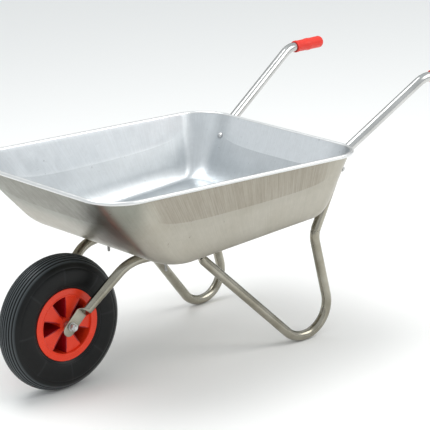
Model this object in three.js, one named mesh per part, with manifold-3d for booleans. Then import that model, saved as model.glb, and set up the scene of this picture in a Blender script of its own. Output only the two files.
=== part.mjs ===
// A garden wheelbarrow: pressed steel tray, tubular frame and one pneumatic wheel on a plastic rim.
// Millimetres. +X is forward, towards the wheel, +Y is the left-hand side, +Z is up, the ground is z = 0.
// Stations along the barrow are measured from the axle, and the whole assembly is centred at the end.
import * as THREE from "three";
import { mergeVertices } from "three/addons/utils/BufferGeometryUtils.js";
import Module from "manifold-3d";

const wasm = await Module();
wasm.setup();

// ---------- driving dimensions ----------
const GAP = 0.3; // clearance left between pieces that touch
const FLOOR_PACK = 0.3; // extra room under the floor for the facets of the tubes

// wheel
const TYRE_RADIUS = 185;
const TYRE_HALF_WIDTH = 44.8;
const FLANGE_RADIUS = 99; // outer edge of the rim's flange
const RIM_HALF_WIDTH = 39.5;
const RIM_BORE_RADIUS = 78; // inside of the rim's barrel
const SPOKE_SECTORS = 5;
const WINDOW_ANGLE = THREE.MathUtils.degToRad(36); // open sector on the left face
const WINDOW_START = THREE.MathUtils.degToRad(76); // middle of the first window, up from +X
const WEB_THICKNESS = 3;
const WEB_OUTER_FACE = 33; // how far the flat panels stand from the wheel's middle plane
const HUB_RADIUS = 19;
const HUB_BORE_RADIUS = 12.4;
const WHEEL_SEGMENTS = 36;

// axle, an M12 stud
const AXLE_RADIUS = 6;
const AXLE_HALF_LENGTH = 76;
const AXLE_NUT_FLATS = 19;
const AXLE_NUT_HEIGHT = 10;
const AXLE_WASHER_THICKNESS = 2.2;
const BUSH_FLANGE = 2;

// tubes
const TUBE_RADIUS = 13.5;
const TUBE_WALL = 1.5;
const PRESSED_HALF_WIDTH = 18;
const PRESSED_HALF_THICKNESS = 1.75;
const PRESSED_SQUARENESS = 0.55; // 0 keeps the pressed section an oval, 1 makes it a rectangle
const BEND_STEP = THREE.MathUtils.degToRad(15);

// fork tubes: from the axle, up beside the tyre and back under the tray
const LUG_Y = 68; // where the tube's centre line would meet the axle
const LUG_INSET = 11; // the flattened lug is pressed to the tube's inner side
const PLATE_Y = LUG_Y - LUG_INSET; // middle of the flattened lug
const LUG_BEYOND_AXLE = 29;
const LUG_BEHIND_AXLE = 42;
const LUG_TRANSITION = 18; // length over which the tube turns from flat to round
const FORK_SPLAY = 0.209; // sideways travel for each millimetre backwards
const FORK_RISE = 0.885; // climb for each millimetre backwards
const FORK_END_X = -372;
const FORK_BEND_X = -168; // where the climbing line meets the run under the tray
const FORK_BEND_RADIUS = 110;

// tray: the rolled rim's centre line, and the corner that walls and floor would meet in
const RIM_FRONT = new THREE.Vector2(56.9, 583); // x, z
const RIM_REAR = new THREE.Vector2(-814.3, 530);
const RIM_HALF_WIDTH_Y = 340;
const RIM_CORNER_RADIUS = 98;
const FLOOR_FRONT_X = -151;
const FLOOR_REAR_X = -726;
const FLOOR_HALF_WIDTH = 283;
const FLOOR_CORNER_RADIUS = 45;
const FLOOR_FRONT_Z = 340; // underside of the floor, carried forward to the rim's front
const FLOOR_REAR_Z = 365; // and carried back to the rim's rear
const STRAIGHT_WALL = 0.73; // share of each wall that is flat, from the rim down
const FILLET_REACH = { front: 0.32, rear: 0.22, side: 0.31 }; // floor covered by the lower curve
const SHEET = 0.9;
const BEAD_RADIUS = 5.6;

// handle and leg tubes, one each side: stations on the left tube's centre line
const GRIP_END = new THREE.Vector3(-1229, 293, 660);
const HANDLE_BEND = new THREE.Vector3(-1096, 279.6, 668.2);
const SHOULDER = new THREE.Vector3(-815.5, 240, 504.2); // where the handle meets the tray's rear wall
const HIP = new THREE.Vector3(-707, 231, 298); // where the leg turns down
const FOOT_CENTRE = new THREE.Vector2(-664.5, 95.3); // x, z of the foot bend's centre
const FOOT_BEND_RADIUS = 81.8;
const FOOT_BACK_Y = 229;
const FOOT_FRONT_Y = 216;
const LEG_TOP = new THREE.Vector3(-383, 130.5, 295); // where the leg's tube is flattened
const LEG_TAB_X = -335; // bolt through the flattened end
const LEG_TAB_INSET = 2; // the tab sits this far inside the fork tube's line
const TAB_BEHIND_BOLT = 22;
const TAB_BEYOND_BOLT = 16;
const LEG_TRANSITION = 24;
const HANDLE_BEND_RADIUS = 70;
const LEG_BEND_RADIUS = 60;

// grips
const GRIP_LENGTH = 112;
const GRIP_RADIUS = 17.6;

// tray fasteners, M8
const BOLT_RADIUS = 4;
const BOLT_HOLE_RADIUS = 4.5;
const BOLT_HEAD_RADIUS = 9;
const BOLT_HEAD_HEIGHT = 4.2;
const WASHER_RADIUS = 8.5;
const WASHER_THICKNESS = 1.6;
const NUT_FLATS = 13;
const NUT_HEIGHT = 6.5;
const FRONT_BOLT_X = -270;
const REAR_BOLT_Z = 477;
const REAR_BOLT_STANDOFF = 1.2; // the head bears on the curve of the tray's corner
const REAR_BOLT_SLACK = 3.4; // the tube stands a little off the wall at the rear bolt

// ---------- materials ----------
const galvanised = (color, roughness) =>
  new THREE.MeshStandardMaterial({ color, roughness, metalness: 0.9 });
const traySteel = galvanised(0xc4c8c8, 0.42);
const tubeSteel = galvanised(0xb9b9ae, 0.3);
const zincPlate = galvanised(0xc9ccd0, 0.35);
const redPlastic = new THREE.MeshStandardMaterial({ color: 0xe8432a, roughness: 0.4, metalness: 0 });
const redGrip = new THREE.MeshStandardMaterial({ color: 0xe63c30, roughness: 0.5, metalness: 0 });
const blackRubber = new THREE.MeshStandardMaterial({ color: 0x25272a, roughness: 0.75, metalness: 0 });

// ---------- solids ----------
function solidOf(geometry) {
  const bare = geometry.clone();
  bare.deleteAttribute("normal");
  bare.deleteAttribute("uv");
  const merged = mergeVertices(bare, 1e-3);
  return new wasm.Manifold(
    new wasm.Mesh({
      numProp: 3,
      vertProperties: merged.attributes.position.array,
      triVerts: new Uint32Array(merged.index.array),
    }),
  );
}

function geometryOf(solid) {
  const mesh = solid.getMesh();
  const geometry = new THREE.BufferGeometry();
  geometry.setAttribute("position", new THREE.BufferAttribute(mesh.vertProperties, 3));
  geometry.setIndex(new THREE.BufferAttribute(mesh.triVerts, 1));
  return geometry;
}

const joined = (first, ...others) =>
  geometryOf(others.reduce((solid, other) => solid.add(solidOf(other)), solidOf(first)));
const cut = (blank, ...tools) =>
  geometryOf(tools.reduce((solid, tool) => solid.subtract(solidOf(tool)), solidOf(blank)));

// A solid of revolution about +Y from (radius, height) pairs that close on themselves.
function ring(profile, segments) {
  const points = profile.map(([radius, height]) => new THREE.Vector2(radius, height));
  return new THREE.LatheGeometry([...points, points[0].clone()], segments);
}

// A plain sleeve about +Y.
const sleeve = (inner, outer, from, to, segments = 16) =>
  ring([[inner, from], [outer, from], [outer, to], [inner, to]], segments);

// A hexagon nut about +Y, standing on y = 0.
function hexNut(acrossFlats, boreRadius, height) {
  const corner = acrossFlats / 2 / Math.cos(Math.PI / 6);
  const outline = new THREE.Shape();
  for (let i = 0; i < 6; i++) {
    const angle = (i * Math.PI) / 3;
    outline[i ? "lineTo" : "moveTo"](corner * Math.cos(angle), corner * Math.sin(angle));
  }
  outline.closePath();
  const bore = new THREE.Path();
  bore.absarc(0, 0, boreRadius, 0, 2 * Math.PI, true);
  outline.holes.push(bore);
  const nut = new THREE.ExtrudeGeometry(outline, { depth: height, bevelEnabled: false, curveSegments: 7 });
  return nut.rotateX(-Math.PI / 2);
}

// A drill along a line: a cylinder centred on a point.
function drill(radius, length, centre, direction) {
  const turn = new THREE.Quaternion().setFromUnitVectors(new THREE.Vector3(0, 1, 0), direction);
  const tool = new THREE.CylinderGeometry(radius, radius, length, 14);
  return tool.applyQuaternion(turn).translate(centre.x, centre.y, centre.z);
}

// ---------- bent tubes ----------
// A polyline curve whose parameter steps from one station to the next.
class StationCurve extends THREE.Curve {
  constructor(stations) {
    super();
    this.stations = stations;
  }

  getUtoTmapping(u) {
    return u;
  }

  getPoint(t, target = new THREE.Vector3()) {
    const place = t * (this.stations.length - 1);
    const index = Math.min(Math.floor(place), this.stations.length - 2);
    return target.lerpVectors(this.stations[index], this.stations[index + 1], place - index);
  }
}

// Stations of a tube's centre line, its corners rounded to each bend's radius.
function bentLine(corners) {
  const stations = [corners[0].at.clone()];
  for (let i = 1; i < corners.length - 1; i++) {
    const { at, radius } = corners[i];
    const back = corners[i - 1].at.clone().sub(at).normalize();
    const ahead = corners[i + 1].at.clone().sub(at).normalize();
    if (!radius) {
      stations.push(at.clone());
      continue;
    }
    const half = back.angleTo(ahead) / 2;
    const middle = back.clone().add(ahead).normalize();
    const centre = at.clone().addScaledVector(middle, radius / Math.sin(half));
    const first = at.clone().addScaledVector(back, radius / Math.tan(half)).sub(centre);
    const last = at.clone().addScaledVector(ahead, radius / Math.tan(half)).sub(centre);
    const sweep = first.angleTo(last);
    const axis = first.clone().cross(last).normalize();
    const steps = Math.max(2, Math.round(sweep / BEND_STEP));
    for (let k = 0; k <= steps; k++)
      stations.push(first.clone().applyAxisAngle(axis, (sweep * k) / steps).add(centre));
  }
  stations.push(corners.at(-1).at.clone());
  return stations;
}

// A round tube along stations, pressed flat where flatAt(distance from the far end) is over zero.
// The pressed section is thin along the axis nearest to thin and stands inset back from the centre line
// along it. noseAt narrows it to a round end.
function tube(stations, thin, inset, flatAt, noseAt) {
  const section = new THREE.Shape();
  section.absarc(0, 0, TUBE_RADIUS, 0, 2 * Math.PI, false);
  const bore = new THREE.Path();
  bore.absarc(0, 0, TUBE_RADIUS - TUBE_WALL, 0, 2 * Math.PI, true);
  section.holes.push(bore);
  const curve = new StationCurve(stations);
  const steps = stations.length - 1;
  const geometry = new THREE.ExtrudeGeometry(section, { steps, extrudePath: curve, curveSegments: 5 });
  const rings = stations.map((point, i) => ({ point, tangent: curve.getTangentAt(i / steps) }));
  let distance = 0;
  for (let i = steps; i >= 0; i--) {
    if (i < steps) distance += stations[i].distanceTo(stations[i + 1]);
    rings[i].flat = flatAt(distance);
    rings[i].nose = noseAt(distance);
  }
  const position = geometry.attributes.position;
  const vertex = new THREE.Vector3();
  for (let i = 0; i < position.count; i++) {
    vertex.fromBufferAttribute(position, i);
    const { at, radius } = stationOf(vertex, rings);
    if (!at.flat) continue;
    const across = new THREE.Vector3().crossVectors(at.tangent, thin).normalize();
    const through = new THREE.Vector3().crossVectors(across, at.tangent);
    const offset = vertex.clone().sub(at.point);
    const angle = Math.atan2(offset.dot(through), offset.dot(across));
    const wall = TUBE_RADIUS - radius;
    const halfWidth = THREE.MathUtils.lerp(TUBE_RADIUS, PRESSED_HALF_WIDTH, at.flat) * at.nose - wall;
    const halfThickness = THREE.MathUtils.lerp(TUBE_RADIUS, PRESSED_HALF_THICKNESS, at.flat) - wall;
    const power = 1 - PRESSED_SQUARENESS * at.flat;
    const sine = Math.sin(angle);
    vertex
      .copy(at.point)
      .addScaledVector(through, -inset * at.flat)
      .addScaledVector(across, halfWidth * Math.cos(angle))
      .addScaledVector(through, halfThickness * Math.sign(sine) * Math.abs(sine) ** power);
    position.setXYZ(i, vertex.x, vertex.y, vertex.z);
  }
  return geometry;
}

// The ring a tube's vertex belongs to, and whether it is on the outside or in the bore.
function stationOf(vertex, rings) {
  let best = null;
  for (const at of rings) {
    const offset = vertex.clone().sub(at.point);
    for (const radius of [TUBE_RADIUS, TUBE_RADIUS - TUBE_WALL]) {
      const miss = Math.abs(offset.dot(at.tangent)) + Math.abs(offset.length() - radius);
      if (!best || miss < best.miss) best = { at, radius, miss };
    }
  }
  return best;
}

// Flatness along a pressed end: fully flat to flatLength, round again after the transition.
const pressedEnd = (flatLength, transition) => (distance) =>
  1 - THREE.MathUtils.smoothstep(distance, flatLength, flatLength + transition);

// Width of a pressed end whose tip is a half round.
const roundNose = (distance) => {
  const short = PRESSED_HALF_WIDTH - Math.min(distance + 0.6, PRESSED_HALF_WIDTH);
  return Math.sqrt(1 - (short / PRESSED_HALF_WIDTH) ** 2);
};

// Extra stations for the pressed end, counted back from the tube's last corner.
function withPressedStations(corners, distances) {
  const tip = corners.at(-1).at;
  const before = corners.at(-2).at;
  const along = before.clone().sub(tip).normalize();
  const extra = distances.map((distance) => ({ at: tip.clone().addScaledVector(along, distance) }));
  return [...corners.slice(0, -1), ...extra.reverse(), corners.at(-1)];
}

const floorUndersideAt = (x) =>
  THREE.MathUtils.mapLinear(x, RIM_REAR.x, RIM_FRONT.x, FLOOR_REAR_Z, FLOOR_FRONT_Z);
const floorSlope = (FLOOR_FRONT_Z - FLOOR_REAR_Z) / (RIM_FRONT.x - RIM_REAR.x);
const floorNormal = new THREE.Vector3(-floorSlope, 0, 1).normalize();

const forkY = (x) => LUG_Y - FORK_SPLAY * x;
const forkUnderTrayZ = (x) => floorUndersideAt(x) - GAP - TUBE_RADIUS - FLOOR_PACK;
const NOSE_STATIONS = [2.5, 7, 12, 18];

function forkTube() {
  const climb = new THREE.Vector3(-1, 0, FORK_RISE).normalize();
  const axle = new THREE.Vector3(0, LUG_Y, TYRE_RADIUS);
  const bendX = (TYRE_RADIUS - forkUnderTrayZ(FORK_BEND_X)) / FORK_RISE;
  const corners = withPressedStations(
    [
      { at: new THREE.Vector3(FORK_END_X, forkY(FORK_END_X), forkUnderTrayZ(FORK_END_X)) },
      { at: new THREE.Vector3(bendX, forkY(bendX), forkUnderTrayZ(bendX)), radius: FORK_BEND_RADIUS },
      { at: axle.clone().addScaledVector(climb, LUG_BEHIND_AXLE + LUG_TRANSITION / 2) },
      { at: axle.clone().addScaledVector(climb, LUG_BEHIND_AXLE) },
      { at: axle.clone().addScaledVector(climb, -LUG_BEYOND_AXLE) },
    ],
    NOSE_STATIONS,
  );
  const blank = tube(
    bentLine(corners),
    new THREE.Vector3(0, 1, 0),
    LUG_INSET,
    pressedEnd(LUG_BEYOND_AXLE + LUG_BEHIND_AXLE, LUG_TRANSITION),
    roundNose,
  );
  const axleHole = drill(AXLE_RADIUS + GAP, 30, axle, new THREE.Vector3(0, 1, 0));
  return cut(blank, axleHole, boltHole("front_tray"), boltHole("leg_joint"));
}

// ---------- tray ----------
// Rounded rectangle through one level of the tray, as points and outward directions.
function trayLevel(frontX, rearX, halfWidth, radius) {
  const points = [];
  const cornerSteps = 5;
  const corners = [[frontX, 1, 1, 0], [rearX, -1, 1, 1], [rearX, -1, -1, 2], [frontX, 1, -1, 3]];
  for (const [edgeX, sideX, sideY, quarter] of corners)
    for (let k = 0; k <= cornerSteps; k++) {
      const angle = ((quarter + k / cornerSteps) * Math.PI) / 2;
      const outward = new THREE.Vector3(Math.cos(angle), Math.sin(angle), 0);
      const centre = new THREE.Vector3(edgeX - sideX * radius, sideY * (halfWidth - radius), 0);
      points.push({ point: centre.addScaledVector(outward, radius), outward });
    }
  return points;
}

// How far in and how far down a wall has gone at t, as shares of its run and of the depth.
function wallCurve(t, reach) {
  const corner = new THREE.Vector2(1, 1);
  const top = corner.clone().multiplyScalar(STRAIGHT_WALL);
  if (t <= 0) return corner.multiplyScalar(STRAIGHT_WALL * (1 + t));
  const foot = new THREE.Vector2(1 + reach, 1);
  const lower = new THREE.CubicBezierCurve(
    top.clone(), top.clone().lerp(corner, 0.6), foot.clone().lerp(corner, 0.6), foot,
  );
  return lower.getPoint(t);
}

function tray() {
  const wallTop = BEAD_RADIUS - SHEET; // the wall's outer face stands this far inside the bead's centre
  const depthAt = (x, drop) => {
    const front = THREE.MathUtils.lerp(RIM_FRONT.y, FLOOR_FRONT_Z, drop);
    const rear = THREE.MathUtils.lerp(RIM_REAR.y, FLOOR_REAR_Z, drop);
    return THREE.MathUtils.mapLinear(x, RIM_REAR.x, RIM_FRONT.x, rear, front);
  };
  const level = (t) => {
    const [front, rear, side] = ["front", "rear", "side"].map((wall) => wallCurve(t, FILLET_REACH[wall]));
    const frontX = THREE.MathUtils.lerp(RIM_FRONT.x - wallTop, FLOOR_FRONT_X, front.x);
    const rearX = THREE.MathUtils.lerp(RIM_REAR.x + wallTop, FLOOR_REAR_X, rear.x);
    const halfWidth = THREE.MathUtils.lerp(RIM_HALF_WIDTH_Y - wallTop, FLOOR_HALF_WIDTH, side.x);
    const radius = THREE.MathUtils.lerp(RIM_CORNER_RADIUS - wallTop, FLOOR_CORNER_RADIUS, side.y);
    return trayLevel(frontX, rearX, halfWidth, radius).map(({ point }) =>
      point.setZ(depthAt(point.x, side.y)),
    );
  };
  const outside = [-1, 0, 0.25, 0.5, 0.75, 1].map(level);
  const inside = outside.map((points, i) =>
    points.map((point, j) => {
      const count = points.length;
      const above = outside[Math.max(i - 1, 0)][j];
      const below = outside[Math.min(i + 1, outside.length - 1)][j];
      const along = points[(j + 1) % count].clone().sub(points[(j - 1 + count) % count]);
      const inward = i === outside.length - 1
        ? floorNormal.clone()
        : along.cross(below.clone().sub(above)).normalize();
      if (i === 0) inward.setZ(0).normalize();
      return point.clone().addScaledVector(inward, SHEET);
    }),
  );
  const rimLine = trayLevel(RIM_FRONT.x, RIM_REAR.x, RIM_HALF_WIDTH_Y, RIM_CORNER_RADIUS);
  const beadRing = (radius, angle) =>
    rimLine.map(({ point, outward }) =>
      point
        .clone()
        .setZ(depthAt(point.x, 0))
        .addScaledVector(outward, radius * Math.cos(angle))
        .add(new THREE.Vector3(0, 0, radius * Math.sin(angle))),
    );
  const curl = [0.75, 0.5, 0.25, 0, -0.25, -0.5, -0.72].map((turns) => turns * Math.PI);
  const rings = [
    ...inside.toReversed(),
    ...curl.map((angle) => beadRing(BEAD_RADIUS, angle)),
    ...curl.toReversed().map((angle) => beadRing(BEAD_RADIUS - SHEET, angle)),
    ...outside,
  ];
  return closedLoft(rings);
}

// A closed solid through rings of equal point counts, its first and last ring each capped from the middle.
function closedLoft(rings) {
  const count = rings[0].length;
  const middleOf = (points) => {
    const sum = points.reduce((total, point) => total.add(point), new THREE.Vector3());
    return sum.divideScalar(points.length);
  };
  const vertices = [...rings.flat(), middleOf(rings[0]), middleOf(rings.at(-1))];
  const firstMiddle = vertices.length - 2;
  const lastMiddle = vertices.length - 1;
  const lastRing = (rings.length - 1) * count;
  const index = [];
  for (let j = 0; j < count; j++) {
    const next = (j + 1) % count;
    index.push(firstMiddle, j, next, lastMiddle, lastRing + next, lastRing + j);
    for (let i = 0; i < rings.length - 1; i++) {
      const [a, b] = [i * count + j, i * count + next];
      index.push(a, a + count, b, b, a + count, b + count);
    }
  }
  const geometry = new THREE.BufferGeometry().setFromPoints(vertices);
  geometry.setIndex(index);
  return geometry;
}

// ---------- handle and leg tubes ----------
function sideTube() {
  const tabZ = forkUnderTrayZ(LEG_TAB_X) - TUBE_RADIUS - GAP - PRESSED_HALF_THICKNESS - FLOOR_PACK;
  const tab = new THREE.Vector3(LEG_TAB_X, forkY(LEG_TAB_X) - LEG_TAB_INSET, tabZ);
  const along = new THREE.Vector3(1, -FORK_SPLAY, floorSlope).normalize();
  const knee = tab.clone().addScaledVector(along, -TAB_BEHIND_BOLT);
  const foot = [];
  const upright = HIP.clone().sub(new THREE.Vector3(FOOT_CENTRE.x, HIP.y, FOOT_CENTRE.y));
  const diagonal = LEG_TOP.clone().sub(new THREE.Vector3(FOOT_CENTRE.x, LEG_TOP.y, FOOT_CENTRE.y));
  // angles at the foot's centre of the two points where the straight legs leave the bend
  const leave = (to, side) =>
    Math.atan2(to.z, to.x) + side * Math.acos(FOOT_BEND_RADIUS / Math.hypot(to.x, to.z));
  const from = leave(upright, 1);
  const until = leave(diagonal, -1) + 2 * Math.PI;
  const steps = Math.round((until - from) / BEND_STEP);
  for (let k = 0; k <= steps; k++) {
    const angle = THREE.MathUtils.lerp(from, until, k / steps);
    foot.push({
      at: new THREE.Vector3(
        FOOT_CENTRE.x + FOOT_BEND_RADIUS * Math.cos(angle),
        THREE.MathUtils.lerp(FOOT_BACK_Y, FOOT_FRONT_Y, k / steps),
        FOOT_CENTRE.y + FOOT_BEND_RADIUS * Math.sin(angle),
      ),
    });
  }
  const corners = withPressedStations(
    [
      { at: GRIP_END },
      { at: HANDLE_BEND, radius: HANDLE_BEND_RADIUS },
      { at: SHOULDER, radius: LEG_BEND_RADIUS },
      { at: HIP, radius: LEG_BEND_RADIUS },
      ...foot,
      { at: LEG_TOP.clone().lerp(foot.at(-1).at, 0.075) },
      { at: LEG_TOP },
      { at: knee, radius: 12 },
      { at: tab.clone().addScaledVector(along, TAB_BEYOND_BOLT) },
    ],
    NOSE_STATIONS,
  );
  const flatLength = tab.distanceTo(knee) + knee.distanceTo(LEG_TOP) + 8;
  const blank = tube(
    bentLine(corners),
    new THREE.Vector3(-0.35, 0, 1).normalize(),
    0,
    pressedEnd(flatLength, LEG_TRANSITION),
    roundNose,
  );
  return cut(blank, boltHole("leg_joint"), boltHole("rear_tray"));
}

// ---------- fasteners ----------
function mesh(name, geometry, material) {
  const piece = new THREE.Mesh(geometry, material);
  piece.name = name;
  return piece;
}

// Mushroom-head bolt, washer and nut along +Y: the head stands on y = 0, the nut past the clamped stack.
function boltSet(name, side, clamped, length) {
  const set = new THREE.Group();
  const top = -GAP - BOLT_HEAD_HEIGHT;
  const bolt = new THREE.LatheGeometry(
    [
      new THREE.Vector2(0, top),
      new THREE.Vector2(BOLT_HEAD_RADIUS * 0.5, top + 0.5),
      new THREE.Vector2(BOLT_HEAD_RADIUS * 0.85, top + 1.8),
      new THREE.Vector2(BOLT_HEAD_RADIUS, -GAP),
      new THREE.Vector2(BOLT_RADIUS, -GAP),
      new THREE.Vector2(BOLT_RADIUS, length - 1),
      new THREE.Vector2(BOLT_RADIUS - 1, length),
      new THREE.Vector2(0, length),
    ],
    12,
  );
  const bore = BOLT_RADIUS + GAP;
  const washer = sleeve(bore, WASHER_RADIUS, clamped + GAP, clamped + GAP + WASHER_THICKNESS, 14);
  const nut = hexNut(NUT_FLATS, bore, NUT_HEIGHT);
  nut.translate(0, clamped + 2 * GAP + WASHER_THICKNESS, 0);
  set.add(mesh(`${name}_bolt_${side}`, bolt, zincPlate));
  set.add(mesh(`${name}_washer_${side}`, washer, zincPlate));
  set.add(mesh(`${name}_nut_${side}`, nut, zincPlate));
  return set;
}

// Where the rear bolt starts, on the inner face of the tray's rear wall, and which way it runs.
function rearBolt() {
  const rim = new THREE.Vector2(RIM_REAR.x + BEAD_RADIUS - SHEET, RIM_REAR.y);
  const corner = new THREE.Vector2(FLOOR_REAR_X, floorUndersideAt(FLOOR_REAR_X));
  const wall = rim.clone().sub(corner).normalize();
  const towards = new THREE.Vector3(-wall.y, 0, wall.x);
  const share = (REAR_BOLT_Z - corner.y) / (rim.y - corner.y);
  const onWall = corner.clone().lerp(rim, share);
  const tubeShare = (REAR_BOLT_Z - HIP.z) / (SHOULDER.z - HIP.z);
  const y = THREE.MathUtils.lerp(HIP.y, SHOULDER.y, tubeShare);
  const from = new THREE.Vector3(onWall.x, y, onWall.y);
  return { from: from.addScaledVector(towards, -SHEET - REAR_BOLT_STANDOFF), towards };
}

// The three bolts of one side: where each starts, which way it runs, what it clamps and how long it is.
function bolts() {
  const down = floorNormal.clone().negate();
  const onFloor = (x) =>
    new THREE.Vector3(x, forkY(x), floorUndersideAt(x)).addScaledVector(floorNormal, SHEET);
  const rear = rearBolt();
  const tube = SHEET + GAP + 2 * TUBE_RADIUS + 2 * FLOOR_PACK;
  const tab = GAP + 2 * PRESSED_HALF_THICKNESS + 2 * FLOOR_PACK;
  return [
    { name: "front_tray", from: onFloor(FRONT_BOLT_X), towards: down, clamped: tube, length: 67 },
    { name: "leg_joint", from: onFloor(LEG_TAB_X), towards: down, clamped: tube + tab, length: 50 },
    { name: "rear_tray", ...rear, clamped: tube + REAR_BOLT_SLACK, length: 43 },
  ];
}

// The hole a left-hand bolt passes through, or its mirror image on the right.
function boltHole(wanted, side = 1) {
  const { from, towards, length } = bolts().find(({ name }) => name === wanted);
  const mirror = new THREE.Vector3(1, side, 1);
  return drill(BOLT_HOLE_RADIUS, 2 * length, from.multiply(mirror), towards.clone().multiply(mirror));
}

function trayWithHoles() {
  const holes = bolts().flatMap(({ name }) => [boltHole(name, 1), boltHole(name, -1)]);
  return cut(tray(), ...holes);
}

// ---------- wheel ----------
const mirrored = (half) => [...half, ...half.toReversed().map(([r, y]) => [r, -y])];

function tyre() {
  const outer = [
    [93.4, 24], [93.4, 34.9], [99.6, 34.9], [106, 40.6], [118, 43.6], [133, TYRE_HALF_WIDTH], [150, 43.4],
    [164, 38.5], [175, 29.5], [182, 17.5], [TYRE_RADIUS, 5],
  ];
  const inner = [[106, 33.5], [118, 38.4], [138, 40], [158, 34], [171, 22], [176.5, 5]];
  return ring([...mirrored(outer).reverse(), ...mirrored(inner)], WHEEL_SEGMENTS);
}

const VALVE_ANGLE = WINDOW_START + Math.PI / SPOKE_SECTORS;
const VALVE_Y = -10;
const VALVE_RADIUS = 4;
const VALVE_FROM = 101; // the stem's two ends, measured from the axle
const VALVE_TO = 60;
const valveLine = new THREE.Vector3(Math.cos(VALVE_ANGLE), 0, Math.sin(VALVE_ANGLE));
const valveHole = (radius) =>
  drill(radius, 30, valveLine.clone().multiplyScalar(92).setY(VALVE_Y), valveLine);

function innerTube() {
  const oval = (shrink) =>
    Array.from({ length: 10 }, (_, i) => {
      const angle = (i * 2 * Math.PI) / 10;
      return [135 + (37 - shrink) * Math.cos(angle), (34 - shrink) * Math.sin(angle)];
    });
  return cut(ring(oval(0), 28), ring(oval(2), 28), valveHole(VALVE_RADIUS + 0.4));
}

// A flat piece between two radii and two angles in the wheel's plane, from one height to another.
function sectorPlate(inner, outer, from, to, low, high) {
  const shape = new THREE.Shape();
  shape.absarc(0, 0, outer, from, to, false);
  shape.absarc(0, 0, inner, to, from, true);
  const options = { depth: high - low, bevelEnabled: false, curveSegments: 5 };
  const plate = new THREE.ExtrudeGeometry(shape, options);
  return plate.rotateX(Math.PI / 2).translate(0, high, 0);
}

function rim() {
  const seat = RIM_HALF_WIDTH - 5;
  const section = [
    [RIM_BORE_RADIUS, RIM_HALF_WIDTH - 2.5], [RIM_BORE_RADIUS + 2.5, RIM_HALF_WIDTH],
    [FLANGE_RADIUS - 1.5, RIM_HALF_WIDTH], [FLANGE_RADIUS, RIM_HALF_WIDTH - 1.5],
    [FLANGE_RADIUS, seat + 0.8], [93, seat + 0.8], [92, 20], [86, 13],
  ];
  const barrel = ring(mirrored(section).reverse(), WHEEL_SEGMENTS);
  const hub = sleeve(HUB_BORE_RADIUS, HUB_RADIUS, -WEB_OUTER_FACE, WEB_OUTER_FACE, 24);
  const webs = [];
  const panel = (2 * Math.PI) / SPOKE_SECTORS - WINDOW_ANGLE;
  const [inner, outer] = [HUB_RADIUS - 2, RIM_BORE_RADIUS + 1];
  for (let k = 0; k < SPOKE_SECTORS; k++) {
    const windowFrom = WINDOW_START + (k * 2 * Math.PI) / SPOKE_SECTORS - WINDOW_ANGLE / 2;
    const windowTo = windowFrom + WINDOW_ANGLE;
    const face = WEB_OUTER_FACE - WEB_THICKNESS;
    webs.push(sectorPlate(inner, outer, windowFrom, windowTo, -WEB_OUTER_FACE, -face));
    webs.push(sectorPlate(inner, outer, windowTo, windowTo + panel, face, WEB_OUTER_FACE));
    for (const angle of [windowFrom, windowTo]) {
      const wall = new THREE.BoxGeometry(outer - inner, 2 * WEB_OUTER_FACE, WEB_THICKNESS);
      webs.push(wall.translate((inner + outer) / 2, 0, 0).rotateY(-angle));
    }
  }
  return cut(joined(barrel, hub, ...webs), valveHole(VALVE_RADIUS + 0.5));
}

function bush() {
  const [bore, flange] = [AXLE_RADIUS + 0.35, HUB_RADIUS - 2];
  const [face, end] = [WEB_OUTER_FACE + GAP, WEB_OUTER_FACE - 18];
  const [body, outer] = [HUB_BORE_RADIUS - GAP, face + BUSH_FLANGE];
  return ring([[bore, end], [body, end], [body, face], [flange, face], [flange, outer], [bore, outer]], 24);
}

function wheel() {
  const group = new THREE.Group();
  group.position.z = TYRE_RADIUS;
  const flip = new THREE.Vector3(1, -1, 1);
  const rightBush = mesh("hub_bush_right", bush(), redPlastic);
  rightBush.scale.copy(flip);
  const stem = new THREE.CylinderGeometry(VALVE_RADIUS, VALVE_RADIUS, VALVE_FROM - VALVE_TO, 14);
  const capBore = VALVE_RADIUS + GAP;
  const capEnd = VALVE_TO - 6;
  const capProfile = [
    [0, capEnd], [3.6, capEnd], [5.4, capEnd + 2], [5.4, VALVE_TO + 10], [capBore, VALVE_TO + 10],
    [capBore, VALVE_TO - GAP], [0, VALVE_TO - GAP],
  ];
  const cap = new THREE.LatheGeometry(capProfile.map(([r, along]) => new THREE.Vector2(r, along)), 14);
  const valve = new THREE.Group();
  valve.position.y = VALVE_Y;
  valve.quaternion.setFromUnitVectors(new THREE.Vector3(0, 1, 0), valveLine);
  valve.add(mesh("valve_stem", stem.translate(0, (VALVE_FROM + VALVE_TO) / 2, 0), blackRubber));
  valve.add(mesh("valve_cap", cap, blackRubber));
  group.add(
    mesh("tyre", tyre(), blackRubber),
    mesh("inner_tube", innerTube(), blackRubber),
    mesh("rim", rim(), redPlastic),
    mesh("hub_bush_left", bush(), redPlastic),
    rightBush,
    valve,
  );
  return group;
}

// ---------- axle and one side of the frame ----------
function axleStud() {
  const end = AXLE_HALF_LENGTH;
  const profile = [[0, -end], [AXLE_RADIUS - 1, -end], [AXLE_RADIUS, 1 - end], [AXLE_RADIUS, end - 1],
    [AXLE_RADIUS - 1, end], [0, end]];
  const stud = new THREE.LatheGeometry(profile.map(([r, y]) => new THREE.Vector2(r, y)), 24);
  const piece = mesh("axle_stud", stud, zincPlate);
  piece.position.z = TYRE_RADIUS;
  return piece;
}

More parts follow.
